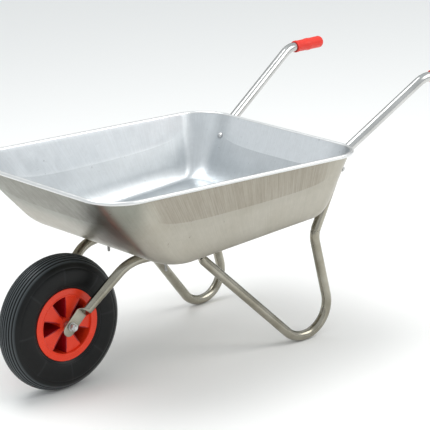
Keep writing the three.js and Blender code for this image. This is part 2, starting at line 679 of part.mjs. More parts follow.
function axleFittings(side) {
  const group = new THREE.Group();
  group.position.z = TYRE_RADIUS;
  const bore = AXLE_RADIUS + GAP;
  const lugInner = PLATE_Y - PRESSED_HALF_THICKNESS - GAP;
  const lugOuter = PLATE_Y + PRESSED_HALF_THICKNESS + GAP;
  const nutFrom = lugOuter + AXLE_WASHER_THICKNESS + GAP;
  const spacer = sleeve(bore, 10.5, WEB_OUTER_FACE + BUSH_FLANGE + 3 * GAP, lugInner, 20);
  const washer = sleeve(bore, 12, lugOuter, lugOuter + AXLE_WASHER_THICKNESS, 20);
  const nut = hexNut(AXLE_NUT_FLATS, bore, AXLE_NUT_HEIGHT).translate(0, nutFrom, 0);
  group.add(mesh(`axle_spacer_${side}`, spacer, zincPlate));
  group.add(mesh(`axle_washer_${side}`, washer, zincPlate));
  group.add(mesh(`axle_nut_${side}`, nut, zincPlate));
  return group;
}

// A push-on grip: a sleeve with a closed, flat end, its open end forward on the handle.
function grip(side) {
  const bore = TUBE_RADIUS + GAP;
  const end = GAP + 3.5;
  const mouth = end - GRIP_LENGTH;
  const swell = mouth + 0.48 * GRIP_LENGTH;
  const profile = [
    [0, GAP], [bore, GAP], [bore, mouth], [GRIP_RADIUS - 1.6, mouth], [GRIP_RADIUS, mouth + 3],
    [GRIP_RADIUS - 0.6, swell - 14], [GRIP_RADIUS + 0.9, swell], [GRIP_RADIUS - 0.6, swell + 14],
    [GRIP_RADIUS, end - 7], [GRIP_RADIUS - 1.5, end - 2.5], [GRIP_RADIUS - 4.5, end], [0, end],
  ];
  const sleeveGeometry = new THREE.LatheGeometry(profile.map(([r, y]) => new THREE.Vector2(r, y)), 20);
  const piece = mesh(`grip_${side}`, sleeveGeometry, redGrip);
  const backwards = GRIP_END.clone().sub(HANDLE_BEND).normalize();
  piece.quaternion.setFromUnitVectors(new THREE.Vector3(0, 1, 0), backwards);
  piece.position.copy(GRIP_END);
  return piece;
}

function frameSide(side) {
  const group = new THREE.Group();
  group.scale.y = side === "left" ? 1 : -1;
  group.add(
    mesh(`fork_tube_${side}`, forkTube(), tubeSteel),
    mesh(`handle_leg_tube_${side}`, sideTube(), tubeSteel),
    grip(side),
    axleFittings(side),
  );
  for (const { name, from, towards, clamped, length } of bolts()) {
    const set = boltSet(name, side, clamped, length);
    set.quaternion.setFromUnitVectors(new THREE.Vector3(0, 1, 0), towards);
    set.position.copy(from);
    group.add(set);
  }
  return group;
}

// ---------- assembly ----------
const barrow = new THREE.Group();
barrow.add(mesh("tray", trayWithHoles(), traySteel), axleStud(), wheel());
barrow.add(frameSide("left"), frameSide("right"));

// The part's origin is on the ground under the middle of its length.
const extent = new THREE.Box3().setFromObject(barrow, true);
barrow.position.x = -(extent.min.x + extent.max.x) / 2;

const wheelbarrow = new THREE.Group();
wheelbarrow.add(barrow);
export default wheelbarrow;
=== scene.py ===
"""Garden wheelbarrow: the visible model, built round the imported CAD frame.

Shapes are worked out in millimetres with x measured from the wheel's axle, +X forward, +Y to the left
and z = 0 on the ground. place() turns them into metres in the frame's own axes.
"""

import math

import bmesh
import bpy
from mathutils import Matrix, Vector, noise


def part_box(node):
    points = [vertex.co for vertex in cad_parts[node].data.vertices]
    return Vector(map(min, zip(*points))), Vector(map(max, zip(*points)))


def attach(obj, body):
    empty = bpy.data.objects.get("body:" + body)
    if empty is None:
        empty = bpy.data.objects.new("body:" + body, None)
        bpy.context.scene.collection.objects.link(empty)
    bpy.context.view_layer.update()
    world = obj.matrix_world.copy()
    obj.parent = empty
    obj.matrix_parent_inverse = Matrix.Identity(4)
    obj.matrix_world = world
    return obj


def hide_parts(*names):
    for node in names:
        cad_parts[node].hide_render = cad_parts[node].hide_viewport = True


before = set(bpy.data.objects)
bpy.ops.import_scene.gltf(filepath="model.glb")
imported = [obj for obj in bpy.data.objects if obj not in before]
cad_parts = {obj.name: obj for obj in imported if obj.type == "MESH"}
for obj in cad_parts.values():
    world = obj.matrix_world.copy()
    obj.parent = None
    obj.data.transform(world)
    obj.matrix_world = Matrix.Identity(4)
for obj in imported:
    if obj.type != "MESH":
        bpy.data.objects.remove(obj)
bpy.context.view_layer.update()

AXLE = [(low + high) / 2 for low, high in zip(*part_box("axle_stud"))]
GAP = 0.3  # mm left between pieces that touch

# wheel, mm
TYRE_RADIUS = 185
TYRE_HALF_WIDTH = 44.8
FLANGE_RADIUS = 99
RIM_HALF_WIDTH = 39.5
RIM_BORE_RADIUS = 78
SPOKE_SECTORS = 5
WINDOW_ANGLE = math.radians(36)
WINDOW_START = math.radians(76)
WEB_OUTER_FACE = 33
WEB_DISH = 0.5
LIP_HEIGHT = 1.5  # round the flange's inner edge
CROWN_CURVE = 0.0132  # mm of drop for each mm squared from the middle plane
GROOVE_PITCH = 6.6
GROOVES_EACH_SIDE = 5
GROOVE_DEPTH = 2.4
GROOVE_SIDE = ((2.0, 0.0), (1.3, 0.3), (0.8, GROOVE_DEPTH))  # distance from its middle, depth
MOULD_LINE_EVERY = 24  # segments of the tyre between two fine radial lines
MOULD_LINE_REACH = (108, 156)
RIB_TOP_DEPTH = 0.1  # anything this close under the crown is the top of a rib
HUB_RADIUS = 19
HUB_BORE_RADIUS = 12.4
WEB_THICKNESS = 3
WEB_SETBACK = 0.6  # of the web's face behind the hub's
BUSH_LENGTH = 18  # inside the hub
BUSH_FLANGE = 2
SPACER_RADIUS = 10.5
AXLE_WASHER_RADIUS = 12
AXLE_RADIUS = 6
AXLE_HALF_LENGTH = 76

# tubes, mm
TUBE_RADIUS = 13.5
TUBE_WALL = 1.5
PRESSED_HALF_WIDTH = 18
PRESSED_HALF_THICKNESS = 1.75
LUG_Y = 68  # where the tube's centre line would meet the axle
LUG_INSET = 11  # the flattened lug is pressed to the tube's inner side
PLATE_Y = LUG_Y - LUG_INSET
LUG_BEYOND_AXLE = 29
LUG_BEHIND_AXLE = 42
LUG_TRANSITION = 18
LUG_BEND_RADIUS = 24
PRESSED_SQUARENESS = 0.55  # how far a pressed section goes from an ellipse towards a rectangle
FORK_SPLAY = 0.209
FORK_RISE = 0.885
FORK_END_X = -372
FORK_BEND_X = -168
FORK_BEND_RADIUS = 110
GRIP_END = Vector((-1229, 293, 660))
HANDLE_BEND = Vector((-1096, 279.6, 668.2))
SHOULDER = Vector((-815.5, 240, 504.2))
HIP = Vector((-707, 231, 298))
FOOT_CENTRE = (-664.5, 95.3)  # x, z
FOOT_BEND_RADIUS = 81.8
FOOT_BACK_Y = 229
FOOT_FRONT_Y = 216
LEG_TOP = Vector((-383, 130.5, 295))
LEG_TAB_X = -335
LEG_TAB_INSET = 2  # the tab's bolt is this far inside the fork tube's centre line
TAB_BEHIND_BOLT = 22
TAB_BEYOND_BOLT = 16
LEG_TAB_THIN_AXIS = Vector((-0.35, 0, 1)).normalized()
LEG_TRANSITION = 24
HANDLE_BEND_RADIUS = 70
LEG_BEND_RADIUS = 60
LEG_TOP_BEND_RADIUS = 10
KNEE_BEND_RADIUS = 12
FLAT_PAST_LEG_TOP = 8

# tray, mm
RIM_FRONT = (56.9, 583)  # x, z of the rolled rim's centre line
RIM_REAR = (-814.3, 530)
TRAY_HALF_WIDTH = 340
TRAY_CORNER_RADIUS = 98
FLOOR_FRONT_X = -151
FLOOR_REAR_X = -726
FLOOR_HALF_WIDTH = 283
FLOOR_CORNER_RADIUS = 45
FLOOR_FRONT_Z = 340
FLOOR_REAR_Z = 365
STRAIGHT_WALL = 0.73
FILLET_REACH = {"front": 0.32, "rear": 0.22, "side": 0.31}
SHEET = 0.9
PANEL_DEPTH = 0.58  # the flat panel's lower edge, as a share of the straight wall
PANEL_CORNER = 0.25
PANEL_ROUNDNESS = 3.2
PANEL_EDGE = 2.6  # mm the panel's lower edge stands proud of a flat wall
PANEL_RINGS = 8  # rings of faces over the panel, below it, and round the lower curve
LOWER_RINGS = 9
CURVE_RINGS = 16
FLOOR_SHARES = (0.8, 0.55, 0.3, 0.1)  # rings of the floor, from its edge to its middle
# painted shade: the outside of the tray is set darker towards the front, for the dark ground the front wall
# reflects
FRONT_SHADE_X = (-90, -20)  # the outside of the tray turns darker between these
SHEET_SWAY = 0.9  # waviness of the drawn sheet
BEAD_RADIUS = 5.6

# grips and fasteners, mm
GRIP_LENGTH = 112
GRIP_RADIUS = 17.6
BOLT_RADIUS = 4
BOLT_HEAD_RADIUS = 9
BOLT_HEAD_HEIGHT = 4.2
BOLT_PITCH = 1.25
AXLE_PITCH = 1.75
WASHER_RADIUS = 8.5
WASHER_THICKNESS = 1.6
NUT_FLATS = 13
NUT_HEIGHT = 6.5
AXLE_NUT_FLATS = 19
AXLE_NUT_HEIGHT = 10
AXLE_WASHER_THICKNESS = 2.2
FRONT_BOLT_X = -270
REAR_BOLT_Z = 477
REAR_BOLT_STANDOFF = 1.2
REAR_BOLT_SLACK = 3.4
FRONT_BOLT_LENGTH = 67
LEG_JOINT_BOLT_LENGTH = 50
REAR_BOLT_LENGTH = 43
HEAD_ARC = 1.25  # radians of the domed head's half section

UP = Vector((0, 0, 1))
SIDES = {"left": 1, "right": -1}


# ---------- meshes ----------
def lerp(a, b, t):
    return a + (b - a) * t


def smoothstep(value, low, high):
    t = min(max((value - low) / (high - low), 0), 1)
    return t * t * (3 - 2 * t)


def swing(start, end, t):
    """start turned towards end, which is as long, by share t of the angle between them."""
    return start.normalized().slerp(end.normalized(), t) * start.length


def place(point):
    """A point in millimetres from the axle, in the frame's metres."""
    return Vector((AXLE[0] + point[0] / 1000, point[1] / 1000, point[2] / 1000))


def shell(name, vertices, faces, material, matrix=Matrix(), sharp=40):
    """A smooth-shaded mesh object, its edges sharp where the faces turn by more than sharp degrees."""
    mesh = bpy.data.meshes.new(name)
    mesh.from_pydata([place(matrix @ Vector(vertex)) for vertex in vertices], [], faces)
    mesh.validate()
    form = bmesh.new()
    form.from_mesh(mesh)
    bmesh.ops.recalc_face_normals(form, faces=form.faces)
    form.to_mesh(mesh)
    form.free()
    mesh.materials.append(material)
    mesh.shade_smooth()
    mesh.set_sharp_from_angle(angle=math.radians(sharp))
    piece = bpy.data.objects.new(name, mesh)
    bpy.context.collection.objects.link(piece)
    return piece


def mark(piece, name, values):
    """Store one number a vertex for the piece's material to read."""
    attribute = piece.data.attributes.new(name, "FLOAT", "POINT")
    attribute.data.foreach_set("value", [float(value) for value in values])


def stand_for(piece, node, body):
    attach(piece, body)
    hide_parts(node)
    return piece


def loft_faces(rings, count, closed):
    """Quads between rings of count points; closed joins the last ring to the first."""
    faces = []
    for i in range(rings if closed else rings - 1):
        a, b = i * count, (i + 1) % rings * count
        faces += [(a + j, a + (j + 1) % count, b + (j + 1) % count, b + j) for j in range(count)]
    return faces


def rounded(corners, closed):
    """A 2D outline of (a, b, radius) corners, each turned into an arc of that radius."""
    points = []
    count = len(corners)
    for i, (a, b, radius) in enumerate(corners):
        here = Vector((a, b))
        if not radius or (not closed and i in (0, count - 1)):
            points.append(here)
            continue
        back = Vector(corners[i - 1][:2]) - here
        ahead = Vector(corners[(i + 1) % count][:2]) - here
        half = back.angle(ahead) / 2
        reach = min(radius / math.tan(half), 0.48 * back.length, 0.48 * ahead.length)
        radius = reach * math.tan(half)
        centre = here + (back.normalized() + ahead.normalized()).normalized() * radius / math.sin(half)
        start = here + back.normalized() * reach - centre
        end = here + ahead.normalized() * reach - centre
        steps = max(2, round(math.degrees(math.pi - 2 * half) / 15))
        for k in range(steps + 1):
            points.append(centre + swing(start, end, k / steps))
    return points


def lathe(name, outline, material, matrix=Matrix(), segments=64, closed=True, sharp=40):
    """A solid of revolution about +Y from (radius, height) points; an open outline ends on the axis."""
    points = [Vector(point) for point in outline]
    vertices = []
    for radius, height in points:
        for k in range(segments):
            angle = 2 * math.pi * k / segments
            vertices.append((radius * math.cos(angle), height, -radius * math.sin(angle)))
    faces = loft_faces(len(points), segments, closed)
    if not closed:
        last = (len(points) - 1) * segments
        faces += [tuple(range(segments - 1, -1, -1)), tuple(range(last, last + segments))]
    return shell(name, vertices, faces, material, matrix, sharp)


def along(direction, origin):
    """A matrix that turns +Y into direction and moves to origin."""
    turn = Vector((0, 1, 0)).rotation_difference(Vector(direction)).to_matrix().to_4x4()
    return Matrix.Translation(Vector(origin)) @ turn


def mirror(side):
    return Matrix.Diagonal((1, SIDES[side], 1, 1))


def hexagon_nut(name, flats, bore, height, material, matrix):
    """A hexagon nut about +Y on y = 0: chamfered corners, and a bore with a lead-in."""
    per_side = 8
    count = 6 * per_side
    corner = flats / 2 / math.cos(math.pi / 6)
    levels = [(0.0, 1.0), (0.12, 0.5), (0.24, 0.0), (0.76, 0.0), (0.88, 0.5), (1.0, 1.0)]
    rings = []
    for level, chamfer in levels:
        ring = []
        for k in range(count):
            angle = 2 * math.pi * k / count
            local = (angle + math.pi / 6) % (math.pi / 3) - math.pi / 6
            radius = flats / 2 / math.cos(math.pi / 6 - abs(local))
            limit = lerp(corner, flats / 2 * 0.985, chamfer)
            radius = min(radius, limit)
            ring.append((radius * math.cos(angle), level * height, -radius * math.sin(angle)))
        rings.append(ring)
    for radius, level in [(bore + 0.9, 1.0), (bore, 0.88), (bore, 0.12), (bore + 0.9, 0.0)]:
        rings.append([
            (radius * math.cos(2 * math.pi * k / count), level * height,
             -radius * math.sin(2 * math.pi * k / count))
            for k in range(count)
        ])
    vertices = [vertex for ring in rings for vertex in ring]
    return shell(name, vertices, loft_faces(len(rings), count, True), material, matrix, sharp=25)


def threaded(radius, start, end, pitch):
    """Points of a threaded shank's outline, from start to end along the axis."""
    depth = 0.61 * pitch
    points = []
    steps = int(abs(end - start) / pitch)
    direction = 1 if end > start else -1
    for k in range(steps):
        at = start + direction * k * pitch
        points += [(radius, at), (radius - depth, at + direction * pitch / 2)]
    return points + [(radius, start + direction * steps * pitch)]


# ---------- materials ----------
# painted light: the tubes' colour turns lighter above this height
PAINTED_LIGHT_FROM = 0.42  # m above the ground, where the tubes start to be brighter


def new_material(name):
    material = bpy.data.materials.new(name)
    material.use_nodes = True
    nodes, links = material.node_tree.nodes, material.node_tree.links
    return material, nodes, links, nodes["Principled BSDF"]


def noise_node(nodes, links, vector, scale, detail=4.0, roughness=0.55):
    node = nodes.new("ShaderNodeTexNoise")
    node.inputs["Scale"].default_value = scale
    node.inputs["Detail"].default_value = detail
    node.inputs["Roughness"].default_value = roughness
    links.new(vector, node.inputs["Vector"])
    return node.outputs["Fac"]


def stretched(nodes, links, vector, scale):
    mapping = nodes.new("ShaderNodeMapping")
    mapping.inputs["Scale"].default_value = scale
    links.new(vector, mapping.inputs["Vector"])
    return mapping.outputs["Vector"]


def object_coordinates(nodes, links, scale=(1, 1, 1)):
    return stretched(nodes, links, nodes.new("ShaderNodeTexCoord").outputs["Object"], scale)


def ramp(nodes, links, value, stops):
    node = nodes.new("ShaderNodeValToRGB")
    elements = node.color_ramp.elements
    while len(elements) < len(stops):
        elements.new(0.5)
    for element, (position, colour) in zip(elements, stops):
        element.position = position
        element.color = (*colour, 1)
    links.new(value, node.inputs["Fac"])
    return node.outputs["Color"]


def grey(*levels):
    """Evenly spread ramp stops of the given grey levels."""
    return [(i / (len(levels) - 1), (level,) * 3) for i, level in enumerate(levels)]


def mix(nodes, links, mode, factor, first, second):
    node = nodes.new("ShaderNodeMix")
    node.data_type = "RGBA"
    node.blend_type = mode
    for socket, value in ((node.inputs[0], factor), (node.inputs[6], first), (node.inputs[7], second)):
        if isinstance(value, (int, float)):
            socket.default_value = value
        elif isinstance(value, tuple):
            socket.default_value = (*value, 1)
        else:
            links.new(value, socket)
    return node.outputs[2]


def bump(nodes, links, shader, height, strength, distance):
    node = nodes.new("ShaderNodeBump")
    node.inputs["Strength"].default_value = strength
    node.inputs["Distance"].default_value = distance
    links.new(height, node.inputs["Height"])
    links.new(node.outputs["Normal"], shader.inputs["Normal"])


def mesh_mark(nodes, name, output="Fac"):
    node = nodes.new("ShaderNodeAttribute")
    node.attribute_name = name
    return node.outputs[output]


def galvanised_sheet():
    """Zinc-dipped sheet with faint spangle, draw marks down the outer panels and a few scuffs, its colour
    carrying
    painted light and shade: brighter inside than out, painted bands on the panels, a bright rolled rim as a
    painted highlight, and a darker tone towards the front.
    """
    material, nodes, links, shader = new_material("galvanised_sheet")
    plain = object_coordinates(nodes, links)
    outside, inside, rolled, inner, front_shade, under = (
        mesh_mark(nodes, name)
        for name in ("panel_outside", "panel_inside", "rolled_rim", "inner_face", "front_shade", "crease_shade")
    )
    spangle = nodes.new("ShaderNodeTexVoronoi")
    spangle.inputs["Scale"].default_value = 110
    links.new(plain, spangle.inputs["Vector"])
    flakes = ramp(nodes, links, spangle.outputs["Color"], grey(0.94, 1.0))
    cloud = noise_node(nodes, links, plain, 6.0)
    # painted reflection and shade: the outside gets a darker, warmer shaded tone for the ground it reflects,
    # the inside a lighter, cooler lit tone for the sky
    shaded_tone = ramp(nodes, links, cloud, [(0.3, (0.42, 0.395, 0.335)), (0.7, (0.49, 0.47, 0.415))])
    lit_tone = ramp(nodes, links, cloud, [(0.3, (0.56, 0.59, 0.61)), (0.7, (0.66, 0.69, 0.71))])
    tone = mix(nodes, links, "MIX", inner, shaded_tone, lit_tone)
    # painted shade: the outer panel band is set darker, and the band just under its lower edge a little
    # darker still, as shade at the crease
    tone = mix(nodes, links, "MULTIPLY", outside, tone, (0.84, 0.82, 0.8))
    tone = mix(nodes, links, "MULTIPLY", under, tone, (0.94, 0.935, 0.93))
    # painted shade: the outside turns darker towards the front, for the dark ground the front wall reflects
    tone = mix(nodes, links, "MULTIPLY", front_shade, tone, (0.62, 0.66, 0.65))
    # painted light: the inner panel band is set to a lighter, cooler colour
    tone = mix(nodes, links, "MIX", inside, tone, (0.79, 0.82, 0.84))
    drawn = stretched(nodes, links, mesh_mark(nodes, "drawn_from", "Vector"), (340, 340, 12))
    streaks = noise_node(nodes, links, drawn, 1.0, 4.0, 0.6)
    streak_tone = ramp(nodes, links, streaks, [(0.34, (0.8, 0.79, 0.775)), (0.64, (1, 1, 1))])
    marked = mix(nodes, links, "MULTIPLY", 1.0, tone, streak_tone)
    faint = mix(nodes, links, "MULTIPLY", 0.3, tone, streak_tone)
    tone = mix(nodes, links, "MIX", outside, faint, marked)
    tone = mix(nodes, links, "MULTIPLY", 0.8, tone, flakes)
    scuffs = noise_node(nodes, links, plain, 55.0, 6.0, 0.7)
    dark = ramp(nodes, links, scuffs, [(0.29, (0.4, 0.4, 0.39)), (0.34, (1, 1, 1))])
    tone = mix(nodes, links, "MULTIPLY", 0.6, tone, dark)
    # painted highlight: the rolled rim is set to a near-white grey
    tone = mix(nodes, links, "MIX", rolled, tone, (0.78, 0.79, 0.785))
    links.new(tone, shader.inputs["Base Color"])
    rough = noise_node(nodes, links, object_coordinates(nodes, links, (60, 60, 14)), 1.0)
    links.new(ramp(nodes, links, rough, [(0.3, (0.3,) * 3), (0.7, (0.4,) * 3)]), shader.inputs["Roughness"])
    shader.inputs["Metallic"].default_value = 0.9
    bump(nodes, links, shader, streaks, 0.06, 0.0005)
    return material


def galvanised_tube():
    """Zinc-dipped tube: glossier than the sheet, mottled, olive-grey below and, as painted light, brighter
    above.
    """
    material, nodes, links, shader = new_material("galvanised_tube")
    plain = object_coordinates(nodes, links)
    mottle = noise_node(nodes, links, plain, 14.0, 4.0)
    shaded_tone = ramp(nodes, links, mottle, [(0.3, (0.27, 0.25, 0.195)), (0.7, (0.43, 0.41, 0.35))])
    lit_tone = ramp(nodes, links, mottle, [(0.3, (0.5, 0.5, 0.485)), (0.7, (0.64, 0.64, 0.63))])
    height = nodes.new("ShaderNodeSeparateXYZ")
    links.new(plain, height.inputs[0])
    # painted light: the tube colour switches from the darker shaded tone to the lighter lit tone with height
    lit_upper = ramp(nodes, links, height.outputs["Z"], [
        (PAINTED_LIGHT_FROM, (0, 0, 0)), (PAINTED_LIGHT_FROM + 0.1, (1, 1, 1)),
    ])
    tone = mix(nodes, links, "MIX", lit_upper, shaded_tone, lit_tone)
    fine = noise_node(nodes, links, plain, 500.0, 3.0)
    tone = mix(nodes, links, "MULTIPLY", 0.3, tone, ramp(nodes, links, fine, grey(0.7, 1.0)))
    links.new(tone, shader.inputs["Base Color"])
    roughness = ramp(nodes, links, mottle, [(0.3, (0.15,) * 3), (0.7, (0.22,) * 3)])
    links.new(roughness, shader.inputs["Roughness"])
    shader.inputs["Metallic"].default_value = 1.0
    bump(nodes, links, shader, fine, 0.08, 0.0003)
    return material


def zinc_plate():
    """Bright zinc on the fasteners, finely mottled."""
    material, nodes, links, shader = new_material("zinc_plate")
    fine = noise_node(nodes, links, object_coordinates(nodes, links), 300.0, 4.0)
    links.new(
        ramp(nodes, links, fine, [(0.3, (0.5, 0.5, 0.5)), (0.7, (0.72, 0.72, 0.71))]),
        shader.inputs["Base Color"],
    )
    links.new(ramp(nodes, links, fine, [(0.3, (0.28,) * 3), (0.7, (0.42,) * 3)]), shader.inputs["Roughness"])
    shader.inputs["Metallic"].default_value = 0.95
    return material


def moulded_plastic(name, colour, deep, roughness, grain_scale, grain_strength):
    """Coloured plastic with a fine moulded grain and slight tone changes, with painted shade making it darker
    and more crimson in its pockets.
    """
    material, nodes, links, shader = new_material(name)
    cloud = noise_node(nodes, links, object_coordinates(nodes, links), 22.0)
    tone = ramp(nodes, links, cloud, [(0.3, deep), (0.7, colour)])
    # painted shade: marked pocket walls are set darker and more crimson
    tone = mix(nodes, links, "MULTIPLY", mesh_mark(nodes, "pocket_shade"), tone, (0.42, 0.12, 1))
    links.new(tone, shader.inputs["Base Color"])
    grain = noise_node(nodes, links, object_coordinates(nodes, links), grain_scale, 3.0)
    links.new(
        ramp(nodes, links, grain, [(0.3, (roughness - 0.06,) * 3), (0.7, (roughness + 0.06,) * 3)]),
        shader.inputs["Roughness"],
    )
    shader.inputs["Specular IOR Level"].default_value = 0.4
    bump(nodes, links, shader, grain, grain_strength, 0.0003)
    return material


def tyre_rubber():
    """Black rubber, with a painted highlight making the tops of the ribs a little greyer and bluer."""
    material, nodes, links, shader = new_material("tyre_rubber")
    dust = noise_node(nodes, links, object_coordinates(nodes, links), 30.0, 6.0, 0.65)
    tone = ramp(nodes, links, dust, [(0.3, (0.0035, 0.004, 0.004)), (0.75, (0.007, 0.0078, 0.008))])
    # painted highlight: the rib tops are set to a lighter, bluish grey
    tone = mix(nodes, links, "MIX", mesh_mark(nodes, "rib_top_highlight"), tone, (0.07, 0.08, 0.085))
    tone = mix(nodes, links, "MIX", mesh_mark(nodes, "mould_line"), tone, (0.014, 0.0155, 0.016))
    links.new(tone, shader.inputs["Base Color"])
    links.new(ramp(nodes, links, dust, [(0.3, (0.3,) * 3), (0.7, (0.4,) * 3)]), shader.inputs["Roughness"])
    shader.inputs["Specular IOR Level"].default_value = 0.22
    fine = noise_node(nodes, links, object_coordinates(nodes, links), 700.0, 3.0)
    bump(nodes, links, shader, fine, 0.15, 0.0003)
    return material


SHEET_STEEL = galvanised_sheet()
TUBE_STEEL = galvanised_tube()
ZINC = zinc_plate()
RED_RIM = moulded_plastic("red_rim", (0.84, 0.048, 0.012), (0.78, 0.038, 0.01), 0.3, 900.0, 0.08)
RED_GRIP = moulded_plastic("red_grip", (0.76, 0.036, 0.018), (0.68, 0.026, 0.015), 0.42, 600.0, 0.2)
RUBBER = tyre_rubber()


# ---------- bent tubes ----------
def bent_line(corners, step=2.5):
    """Stations of a centre line through (point, bend radius) corners, about every step degrees in bends."""
    stations = [corners[0][0].copy()]
    for (before, _), (at, radius), (after, _) in zip(corners, corners[1:], corners[2:]):
        if not radius:
            stations.append(at.copy())
            continue
        back, ahead = (before - at).normalized(), (after - at).normalized()
        half = back.angle(ahead) / 2
        centre = at + (back + ahead).normalized() * radius / math.sin(half)
        start = at + back * radius / math.tan(half) - centre
        end = at + ahead * radius / math.tan(half) - centre
        steps = max(3, round(math.degrees(start.angle(end)) / step))
        stations += [centre + swing(start, end, k / steps) for k in range(steps + 1)]
    stations.append(corners[-1][0].copy())
    return stations


def evenly(stations, spacing):
    """The same line with extra stations, so that none are further apart than spacing."""
    line = [stations[0]]
    for a, b in zip(stations, stations[1:]):
        steps = max(1, math.ceil((b - a).length / spacing))
        line += [a.lerp(b, k / steps) for k in range(1, steps + 1)]
    return line


def finer_tip(stations):
    """The same line with close stations near its far end, where a pressed tip is rounded."""
    tip, before = stations[-1], stations[-2]
    back = (before - tip).normalized()
    cut = [station for station in stations if (station - tip).length > PRESSED_HALF_WIDTH + 1]
    steps = 12
    reach = [PRESSED_HALF_WIDTH * (1 - math.sin(math.pi / 2 * k / steps)) for k in range(steps + 1)]
    return cut + [tip + back * distance for distance in reach]


def pressed_section(angle, flat, nose, inset):
    """A point of the tube's section, from round where flat is 0 to a thin plate where it is 1."""
    half_width = lerp(TUBE_RADIUS, PRESSED_HALF_WIDTH, flat) * nose - inset
    half_thickness = lerp(TUBE_RADIUS, PRESSED_HALF_THICKNESS, flat) - inset
    sine = math.sin(angle)
    power = 1 - PRESSED_SQUARENESS * flat
    return half_width * math.cos(angle), half_thickness * math.copysign(abs(sine) ** power, sine)


def bent_tube(stations, thin, flat_length, transition, offset=0):
    """A tube along stations whose far end is pressed flat for flat_length, with a half-round tip.

    The plate is thin along the thin axis, and offset back from the centre line along it.
    """
    count = 40
    total = sum((b - a).length for a, b in zip(stations, stations[1:]))
    outer, inner = [], []
    travelled = 0
    for i, point in enumerate(stations):
        if i:
            travelled += (point - stations[i - 1]).length
        distance = total - travelled
        before, after = stations[max(i - 1, 0)], stations[min(i + 1, len(stations) - 1)]
        tangent = (after - before).normalized()
        across = tangent.cross(thin).normalized()
        through = across.cross(tangent)
        flat = 1 - smoothstep(distance, flat_length, flat_length + transition)
        middle = point - through * offset * flat
        short = PRESSED_HALF_WIDTH - min(distance + 0.35, PRESSED_HALF_WIDTH)
        nose = math.sqrt(1 - (short / PRESSED_HALF_WIDTH) ** 2)
        for ring, inset in ((outer, 0), (inner, TUBE_WALL)):
            for k in range(count):
                angle = 2 * math.pi * k / count
                a, t = pressed_section(angle, flat, nose, inset)
                ring.append(middle + across * a + through * t)
    rings = len(stations)
    vertices = outer + inner
    outside = loft_faces(rings, count, False)
    shift = rings * count
    faces = [tuple(reversed(face)) for face in outside]
    faces += [tuple(vertex + shift for vertex in face) for face in outside]
    last = (rings - 1) * count
    for k in range(count):
        n = (k + 1) % count
        faces.append((k, n, shift + n, shift + k))
        faces.append((last + n, last + k, shift + last + k, shift + last + n))
    return vertices, faces


def floor_z(x):
    """Height of the tray floor's underside."""
    return lerp(FLOOR_REAR_Z, FLOOR_FRONT_Z, (x - RIM_REAR[0]) / (RIM_FRONT[0] - RIM_REAR[0]))


FLOOR_SLOPE = (FLOOR_FRONT_Z - FLOOR_REAR_Z) / (RIM_FRONT[0] - RIM_REAR[0])
FLOOR_NORMAL = Vector((-FLOOR_SLOPE, 0, 1)).normalized()


def fork_y(x):
    return LUG_Y - FORK_SPLAY * x


def fork_z(x):
    """Height of the fork tube's centre line where it runs under the tray."""
    return floor_z(x) - 2 * GAP - TUBE_RADIUS


def fork_tube(side):
    climb = Vector((-1, 0, FORK_RISE)).normalized()
    axle = Vector((0, LUG_Y, TYRE_RADIUS))
    bend_x = (TYRE_RADIUS - fork_z(FORK_BEND_X)) / FORK_RISE
    corners = [
        (Vector((FORK_END_X, fork_y(FORK_END_X), fork_z(FORK_END_X))), 0),
        (Vector((bend_x, fork_y(bend_x), fork_z(bend_x))), FORK_BEND_RADIUS),
        (axle + climb * LUG_BEHIND_AXLE, LUG_BEND_RADIUS),
        (axle - climb * LUG_BEYOND_AXLE, 0),
    ]
    stations = finer_tip(evenly(bent_line(corners), 3))
    flat_length = LUG_BEYOND_AXLE + LUG_BEHIND_AXLE
    vertices, faces = bent_tube(stations, Vector((0, 1, 0)), flat_length, LUG_TRANSITION, LUG_INSET)
    piece = shell(f"fork_{side}", vertices, faces, TUBE_STEEL, mirror(side))
    return stand_for(piece, f"fork_tube_{side}", "frame")


def side_tube(side):
    below_fork = TUBE_RADIUS + 2 * GAP + PRESSED_HALF_THICKNESS
    tab = Vector((LEG_TAB_X, fork_y(LEG_TAB_X) - LEG_TAB_INSET, fork_z(LEG_TAB_X) - below_fork))
    forward = Vector((1, -FORK_SPLAY, FLOOR_SLOPE)).normalized()
    knee = tab - forward * TAB_BEHIND_BOLT
    centre_x, centre_z = FOOT_CENTRE
    foot = []

    def leave(to, sign):
        """The angle at which a line from the foot's bend towards a point touches the bend."""
        x, z = to.x - centre_x, to.z - centre_z
        return math.atan2(z, x) + sign * math.acos(FOOT_BEND_RADIUS / math.hypot(x, z))

    start, end = leave(HIP, 1), leave(LEG_TOP, -1) + 2 * math.pi
    steps = 40
    for k in range(steps + 1):
        angle = lerp(start, end, k / steps)
        foot.append((Vector((
            centre_x + FOOT_BEND_RADIUS * math.cos(angle),
            lerp(FOOT_BACK_Y, FOOT_FRONT_Y, k / steps),
            centre_z + FOOT_BEND_RADIUS * math.sin(angle),
        )), 0))
    corners = [
        (GRIP_END, 0), (HANDLE_BEND, HANDLE_BEND_RADIUS), (SHOULDER, LEG_BEND_RADIUS), (HIP, LEG_BEND_RADIUS),
        *foot, (LEG_TOP, LEG_TOP_BEND_RADIUS), (knee, KNEE_BEND_RADIUS), (tab + forward * TAB_BEYOND_BOLT, 0),
    ]
    flat_length = (tab - knee).length + (knee - LEG_TOP).length + FLAT_PAST_LEG_TOP
    stations = finer_tip(evenly(bent_line(corners), 5))
    vertices, faces = bent_tube(stations, LEG_TAB_THIN_AXIS, flat_length, LEG_TRANSITION)
    piece = shell(f"side_tube_{side}", vertices, faces, TUBE_STEEL, mirror(side))
    return stand_for(piece, f"handle_leg_tube_{side}", "frame")


